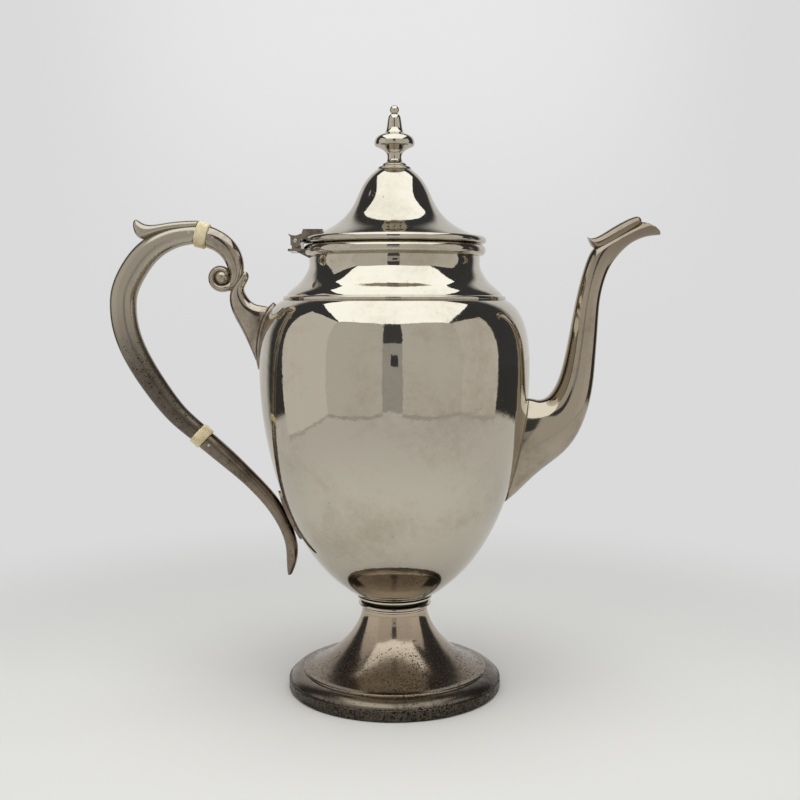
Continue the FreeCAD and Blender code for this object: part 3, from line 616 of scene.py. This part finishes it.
plate_cuts = side_cuts((((-52.6, 170.2), (-50.4, 168.2), 2.4), ((-56.0, 166.8), (-52.4, 164.6), 4.8),
                        ((-58.9, 160.4), (-54.6, 159.4), 5.8), ((-60.4, 152.6), (-56.6, 152.2), 5.4),
                        ((-60.6, 146.2), (-57.2, 146.0), 3.6), ((-59.6, 140.8), (-57.6, 140.8), 1.2)))
upper_plate = cast("upper_plate_cast", skinned(plate_cuts, segments=12))
upper_plate.data.materials.append(arm_silver)
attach(upper_plate, "pot")
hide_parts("upper_plate")


# Lower socket: the cast silver arm beyond the lower ring, which runs down beside the bowl to a
# free pointed tail. The plate under it, kept as the solid, is soldered to the bowl.

socket_silver = silver("socket_silver", (0.24, 0.195, 0.15), (0.09, 0.07, 0.055), stained=(0.44, 0.68),
                       gloss=0.17, pits=0.61)

socket_half, end_half = 4.2, 4.3
start = lower_centre + lower_axis * half_ring
side = Vector((-lower_axis.z, 0, lower_axis.x)) * end_half
socket_cuts = [(start - side, start + side, socket_half)]
for outer, inner, share in (((0.269, 0.449), (0.181, 0.492), 0.95), ((0.133, 0.393), (0.052, 0.427), 0.88),
                            ((0.012, 0.332), (-0.068, 0.364), 0.86), ((-0.074, 0.276), (-0.154, 0.303), 0.83),
                            ((-0.134, 0.219), (-0.213, 0.234), 0.76),
                            ((-0.164, 0.166), (-0.245, 0.174), 0.69),
                            ((-0.167, 0.106), (-0.233, 0.117), 0.55),
                            ((-0.176, 0.074), (-0.201, 0.078), 0.22)):
    socket_cuts.append((beside(*outer), beside(*inner), socket_half * share))
lower_socket = cast("lower_socket_cast", skinned(socket_cuts, segments=12))
lower_socket.data.materials.append(socket_silver)
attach(lower_socket, "pot")
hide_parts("lower_socket")
refinished("lower_plate", socket_silver)


# Insulating rings: turned from an ivory-coloured material, softly worn at their edges, with a
# spigot on each side that a cross pin holds. They keep the grip cool.

ring_material = bpy.data.materials.new("ivory_ring")
ring_material.use_nodes = True
ring_tree = ring_material.node_tree
ring_shader = ring_tree.nodes["Principled BSDF"]
ring_place = Paint(ring_tree).add("TexCoord", output=3)
yellowed = ring_place.noise(scale=220, detail=4).step(0.35, 0.70)
ring_colour = yellowed.blend((0.76, 0.68, 0.47, 1), (0.60, 0.48, 0.27, 1))
ring_bump = ring_place.add("Bump", inputs={"Strength": 0.3, "Distance": 0.1 * MM,
                                           "Height": ring_place.noise(scale=900)})
ring_rough = yellowed * 0.15 + 0.32
for socket, value in (("Base Color", ring_colour), ("Normal", ring_bump), ("Roughness", ring_rough)):
    ring_tree.links.new(value.socket, ring_shader.inputs[socket])
ring_shader.inputs["Subsurface Weight"].default_value = 0.15
ring_shader.inputs["Subsurface Radius"].default_value = (0.002, 0.0015, 0.001)

spigot_radius, spigot_reach, ring_round = 2.0, 7.6, 0.8
for name, centre, axis, radius in (("upper_insulator", upper_centre, upper_axis, upper_radius),
                                   ("lower_insulator", lower_centre, lower_axis, lower_radius)):
    worn_edge = arc_line((radius - ring_round, half_ring - ring_round), ring_round, 0, 90, 6)
    upper_half = worn_edge + [(spigot_radius, half_ring), (spigot_radius, spigot_reach), (0, spigot_reach)]
    lower_half = [(out, -rise) for out, rise in reversed(upper_half)]
    ring_mesh = spun(lower_half + upper_half, closed=False, steps=64)
    turn = Vector((0, 0, 1)).rotation_difference(axis).to_matrix().to_4x4()
    bmesh.ops.transform(ring_mesh, matrix=Matrix.Translation(centre) @ turn, verts=ring_mesh.verts)
    ring = finished(name + "_ring", ring_mesh)
    ring.data.materials.append(ring_material)
    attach(ring, "pot")
    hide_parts(name)


# Spout: a hollow cast horn of silver that narrows upward and turns out to an open beak.
# It is soldered to the bowl round the strainer, and towards the beak its colour is painted darker,
# for the dark surroundings that the beak mirrors.

# Stained towards the beak as a painted dark reflection.
spout_silver = silver("spout_silver", (0.42, 0.365, 0.29), (0.23, 0.185, 0.135), stained=(0.46, 0.74),
                      gloss=0.10, pits=0.72, darkening_heights=(172, 206))

spout_reach, spout_rise, spout_wall = 56.2, 159.7, 1.1


def ahead(out, rise):
    """A place at the spout, by shares of the spout's reach and of its rise."""
    return Vector((bowl_radius + out * spout_reach, 0, bowl_base + rise * spout_rise))


root_half, shaft_half, beak_half = 11.0, 5.4, 4.3
spout_cuts = []
for half_width, edges in (
        (root_half, (((-0.161, 0.556), (-0.340, 0.240), 0.88), ((0.011, 0.555), (-0.161, 0.269), 1.0),
                     ((0.063, 0.551), (0.063, 0.349), 0.97), ((0.125, 0.554), (0.277, 0.405), 0.90),
                     ((0.184, 0.574), (0.411, 0.475), 0.81), ((0.236, 0.611), (0.490, 0.569), 0.68))),
        (shaft_half, (((0.277, 0.666), (0.513, 0.654), 1.22), ((0.311, 0.729), (0.528, 0.732), 1.12),
                      ((0.338, 0.783), (0.537, 0.791), 1.03), ((0.374, 0.848), (0.553, 0.842), 0.94),
                      ((0.433, 0.924), (0.601, 0.901), 0.90))),
        (beak_half, (((0.492, 0.964), (0.671, 0.940), 1.12), ((0.590, 0.986), (0.751, 0.969), 1.07),
                     ((0.698, 1.008), (0.814, 0.983), 1.03), ((0.822, 1.029), (0.884, 0.993), 1.0),
                     ((0.930, 1.041), (0.965, 0.9975), 0.97), ((1.040, 1.049), (1.055, 1.000), 0.94)))):
    for back, front, share in edges:
        spout_cuts.append((ahead(*back), ahead(*front), half_width * share))
spout = walled(cast("spout_cast", skinned(spout_cuts, caps=False)), spout_wall)
bowl_space = spun([(0, bowl_low)] + bowl_line + [(0, bowl_high)], closed=False, steps=BOWL_STEPS)
shaped(spout, finished("inside", bowl_space))

# The block that opens the beak: its first five points draw the lip, the rest lie clear of it.
lip_outline = ((0.850, 1.034), (0.910, 1.0265), (0.955, 1.0175), (0.985, 1.008), (1.0, 0.9975),
               (1.0, 0.9), (1.3, 0.9), (1.3, 1.2), (0.850, 1.2))
block_half = 9
block = bmesh.new()
near_side = [block.verts.new(ahead(*spot) - ACROSS * block_half) for spot in lip_outline]
near_face = bmesh.ops.contextual_create(block, geom=near_side)["faces"]
far_parts = bmesh.ops.extrude_face_region(block, geom=near_face)["geom"]
far_side = [part for part in far_parts if isinstance(part, bmesh.types.BMVert)]
bmesh.ops.translate(block, vec=ACROSS * (block_half * 2), verts=far_side)
bmesh.ops.recalc_face_normals(block, faces=block.faces)
shaped(spout, finished("beak", block))
spout.data.materials.clear()
spout.data.materials.append(spout_silver)
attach(spout, "pot")
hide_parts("spout")


# Spout leaf: a cast silver leaf along the back of the beak, curled up at its lower end.
# It is soldered on.

leaf_cuts = side_cuts((((84.2, 196.8), (83.6, 198.2), 1.6), ((85.9, 193.6), (84.5, 197.7), 3.0),
                       ((89.6, 192.8), (87.7, 198.2), 4.0), ((95.4, 195.6), (93.0, 201.5), 4.4),
                       ((100.8, 199.2), (98.8, 204.8), 4.4), ((104.6, 201.6), (103.2, 206.7), 4.1),
                       ((106.2, 203.0), (105.4, 206.9), 3.2), ((106.6, 204.2), (106.3, 206.0), 1.8)))
spout_leaf = cast("spout_leaf_cast", skinned(leaf_cuts))
# The spout's finish, painted darker at this height for the dark surroundings it mirrors.
spout_leaf.data.materials.append(spout_silver)
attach(spout_leaf, "pot")
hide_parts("spout_leaf")


# The floor: pale and matt near the pot, where it takes the shadow, and further out as light as
# the background. Its colour greys a little away from the pot, a painted falloff of the lamp's light.
# Reflections see it dark beyond the boards, a painted shade, but not behind the pot.
# Distances in its material are in metres.

PALE = (0.70, 0.70, 0.70)
REAR = (0.58, 0.74)

floor_mesh = bmesh.new()
bmesh.ops.create_circle(floor_mesh, cap_ends=True, segments=96, radius=4000)
floor = finished("floor", floor_mesh)
floor_material = bpy.data.materials.new("floor")
floor_material.use_nodes = True
floor_tree = floor_material.node_tree
floor_place = Paint(floor_tree).add("TexCoord", output=3)
floor_y = floor_place.add("SeparateXYZ", inputs={0: floor_place}, output=1)
floor_away = floor_place.add("VectorMath", {"operation": "LENGTH"}, {0: floor_place}, output=1)
shaded = floor_tree.nodes["Principled BSDF"]
# Its colour greys away from the pot: a painted falloff of the lamp's light.
floor_colour_with_painted_falloff = floor_away.step(0.08, 0.26).blend((0.80, 0.785, 0.76, 1), (0.72, 0.71, 0.69, 1))
floor_tree.links.new(floor_colour_with_painted_falloff.socket, shaded.inputs["Base Color"])
shaded.inputs["Roughness"].default_value = 0.9
shaded.inputs["Specular IOR Level"].default_value = 0.1
# Beyond the boards, the floor that reflections see is painted shade.
painted_shade_beyond_boards = floor_away.step(0.56, 0.66) * (1 - (floor_y / floor_away).step(*REAR))
mirrored_floor_with_painted_shade = painted_shade_beyond_boards.blend((0.66, 0.65, 0.63, 1), (0.05, 0.05, 0.05, 1))
far_colour = floor_place.add("LightPath", output=0).blend(mirrored_floor_with_painted_shade, (*PALE, 1))
far_floor = floor_place.add("Emission", inputs={"Color": far_colour, "Strength": 1.0})
floor_mix = floor_place.add("MixShader", inputs={0: floor_away.step(0.15, 0.38),
                                                 1: Paint(floor_tree, shaded.outputs[0]), 2: far_floor})
floor_tree.links.new(floor_mix.socket, floor_tree.nodes["Material Output"].inputs["Surface"])
floor.data.materials.append(floor_material)


# The cards: grey boards in front on both sides of the camera, the gap between them with the
# lens in it, and a white panel overhead. The silver mirrors them, and the camera doesn't see them.

def card(name, corners, colour, strength=1.0):
    """A flat glowing card that the silver mirrors and the camera doesn't see."""
    mesh = bmesh.new()
    bmesh.ops.contextual_create(mesh, geom=[mesh.verts.new(corner) for corner in corners])
    sheet = finished(name, mesh)
    sheet.visible_camera = False
    sheet.visible_shadow = False
    material = bpy.data.materials.new(name)
    material.use_nodes = True
    tree = material.node_tree
    glow = Paint(tree).add("Emission", inputs={"Color": (*colour, 1), "Strength": strength})
    tree.links.new(glow.socket, tree.nodes["Material Output"].inputs["Surface"])
    sheet.data.materials.append(material)


def upright(a, b, low, high):
    """The corners of an upright card between two places on the floor."""
    return [(*a, low), (*b, low), (*b, high), (*a, high)]


board_foot, board_top, foot_shade = 9, 530, 0.72
for name, a, b, colour in (("board_left_inner", (-80, -486), (-407, -287), (0.64, 0.62, 0.59)),
                           ("board_left_outer", (-407, -287), (-389, 64), (0.75, 0.73, 0.70)),
                           ("board_right_inner", (50, -470), (429, -312), (0.65, 0.63, 0.60)),
                           ("board_right_outer", (429, -312), (518, 0), (0.71, 0.69, 0.66))):
    card(name, upright(a, b, board_foot, board_top), colour)
    card(name + "_foot", upright(a, b, 0, board_foot), colour, foot_shade)
gap_left, gap_right = (-130, -520), (110, -520)
gap_middle, gap_top = 280, 570
card("gap_low", upright(gap_left, gap_right, 0, gap_middle), (0.44, 0.43, 0.42))
card("gap_high", upright(gap_left, gap_right, gap_middle, gap_top), (0.07, 0.07, 0.075))
card("lens", upright((-24, -474), (24, -474), 146, 192), (0.06, 0.06, 0.07))
panel_height = 900
panel_corners = [(-980, -1100), (960, -1100), (480, 330), (-450, 330)]
card("overhead", [(*corner, panel_height) for corner in panel_corners], (0.95, 0.99, 1.0), 1.75)


# The light: a pale background for the camera, which reflections see only behind the pot, with
# a dim room elsewhere, and one soft lamp above for the floor and its shadow.

world = bpy.data.worlds.new("studio")
bpy.context.scene.world = world
world.use_nodes = True
world_tree = world.node_tree
look = Paint(world_tree).add("TexCoord", output=0)
sideways = look.add("SeparateXYZ", inputs={0: look}, output=0)
rearward = look.add("SeparateXYZ", inputs={0: look}, output=1)
upward = look.add("SeparateXYZ", inputs={0: look}, output=2)
behind = rearward.step(*REAR) * (1 - upward.step(0.55, 0.76))
room = behind.blend((0.055, 0.056, 0.06, 1), (0.72, 0.72, 0.72, 1))
glow = (1 - (sideways * sideways).step(0.0, 0.10)) * upward.step(-0.05, 0.25)
background = glow.blend((*PALE, 1), (0.80, 0.80, 0.80, 1))
sky = look.add("LightPath", output=0).blend(room, background)
world_tree.links.new(sky.socket, world_tree.nodes["Background"].inputs["Color"])

lamp = bpy.data.lights.new("softbox", "AREA")
lamp.shape = "SQUARE"
lamp.size = 1.4
lamp.energy = 8.0
softbox = bpy.data.objects.new("softbox", lamp)
softbox.location = (0, -0.1, 1.3)
softbox.visible_glossy = False
bpy.context.scene.collection.objects.link(softbox)


# The camera: it stands in front, above the pot's middle, and looks slightly down and a touch to
# the right.

look_down, look_right = 5.02, 0.29
camera_data = bpy.data.cameras.new("camera")
camera_data.sensor_width = 36
camera_data.lens = 48.24
camera = bpy.data.objects.new("camera", camera_data)
camera.location = (0, -0.468, 0.1685)
camera.rotation_euler = (math.radians(90 - look_down), 0, math.radians(-look_right))
bpy.context.scene.collection.objects.link(camera)
bpy.context.scene.camera = camera
bpy.context.scene.view_settings.view_transform = "Standard"

bpy.context.view_layer.update()
